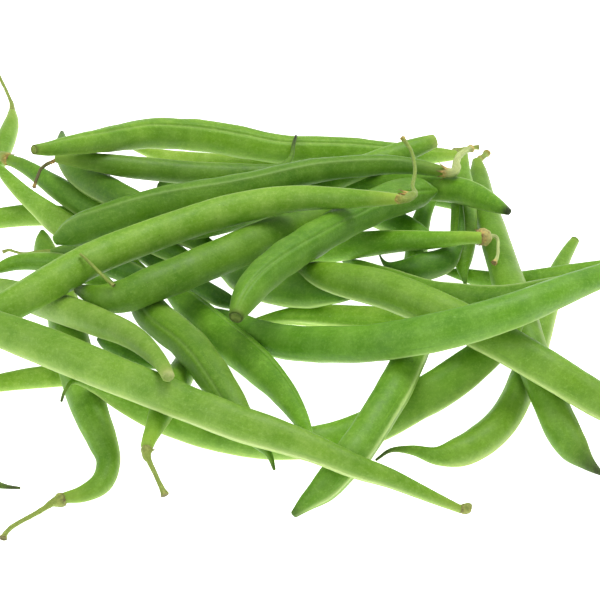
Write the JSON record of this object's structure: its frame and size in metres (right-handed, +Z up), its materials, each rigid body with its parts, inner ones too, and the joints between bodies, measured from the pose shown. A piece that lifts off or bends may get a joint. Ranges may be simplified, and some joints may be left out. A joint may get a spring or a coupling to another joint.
{
  "type": "green bean heap",
  "caption": "Loose heap of fresh green beans lying on each other, with calyxes, pedicels and tapered tails, no tie.",
  "frame": {"origin": "centre of the heap's footprint, on the surface that it lies on", "axes": "+Z up; +X to the right along the heap's long front pods as seen by the viewer; -Y toward the viewer"},
  "size_m": [0.212, 0.2102, 0.0425],
  "materials": {
    "pod_skin_dark": "satin, waxy skin",
    "pod_skin_deep": "satin, waxy skin",
    "pod_skin_light": "satin, waxy skin",
    "pod_skin_mid": "satin, waxy skin",
    "pod_skin_pale": "satin, waxy skin",
    "stem_skin": "matte, fibrous"
  },
  "bodies": {
    "root": {"pod_front_long": "pod_skin_light", "pod_top_long": "pod_skin_light", "pod_top_left": "pod_skin_mid", "pod_back_broad": "pod_skin_mid", "pod_cut_end": "pod_skin_mid", "pod_back_upper": "pod_skin_mid", "pod_back_pale": "pod_skin_pale", "pod_back_lower": "pod_skin_mid", "pod_blunt_tip": "pod_skin_mid", "pod_left_dark": "pod_skin_deep", "pod_left_middle": "pod_skin_deep", "pod_left_lower": "pod_skin_light", "pod_far_left": "pod_skin_light", "pod_left_flat": "pod_skin_light", "pod_hooked": "pod_skin_mid", "pod_left_low": "pod_skin_mid", "pod_under_left": "pod_skin_dark", "pod_pale_left": "pod_skin_pale", "pod_floor_left": "pod_skin_light", "pod_floor_long": "pod_skin_mid", "pod_centre_left": "pod_skin_mid", "pod_centre_dark": "pod_skin_deep", "pod_right_upper": "pod_skin_mid", "pod_right_lower": "pod_skin_mid", "pod_under_centre": "pod_skin_deep", "pod_centre_flat": "pod_skin_mid", "pod_middle_right": "pod_skin_mid", "pod_under_right": "pod_skin_deep", "pod_hooked_tip": "pod_skin_dark", "pod_right_slim": "pod_skin_mid", "pod_right_far": "pod_skin_mid", "pod_dark_tip": "pod_skin_deep", "pod_back_hidden": "pod_skin_deep", "pod_right_hidden": "pod_skin_deep", "pod_right_cross": "pod_skin_mid", "pod_right_short": "pod_skin_mid", "pod_long_tail": "pod_skin_mid", "pod_front_cross": "pod_skin_mid", "pod_front_short": "pod_skin_mid", "pod_floor_front": "pod_skin_mid", "pod_low_left": "pod_skin_deep", "pod_low_centre": "pod_skin_dark", "stem_top_long": "stem_skin", "stem_back_broad": "stem_skin", "stem_back_upper": "stem_skin", "stem_back_lower": "stem_skin", "stem_left_middle": "stem_skin", "stem_far_left": "stem_skin", "stem_middle_right": "stem_skin", "stem_hooked": "stem_skin", "stem_front_short": "stem_skin", "stem_right_cross": "stem_skin", "stem_under_left": "stem_skin", "stem_loose": "stem_skin", "stem_front_long": "stem_skin"}
  },
  "joints": []
}
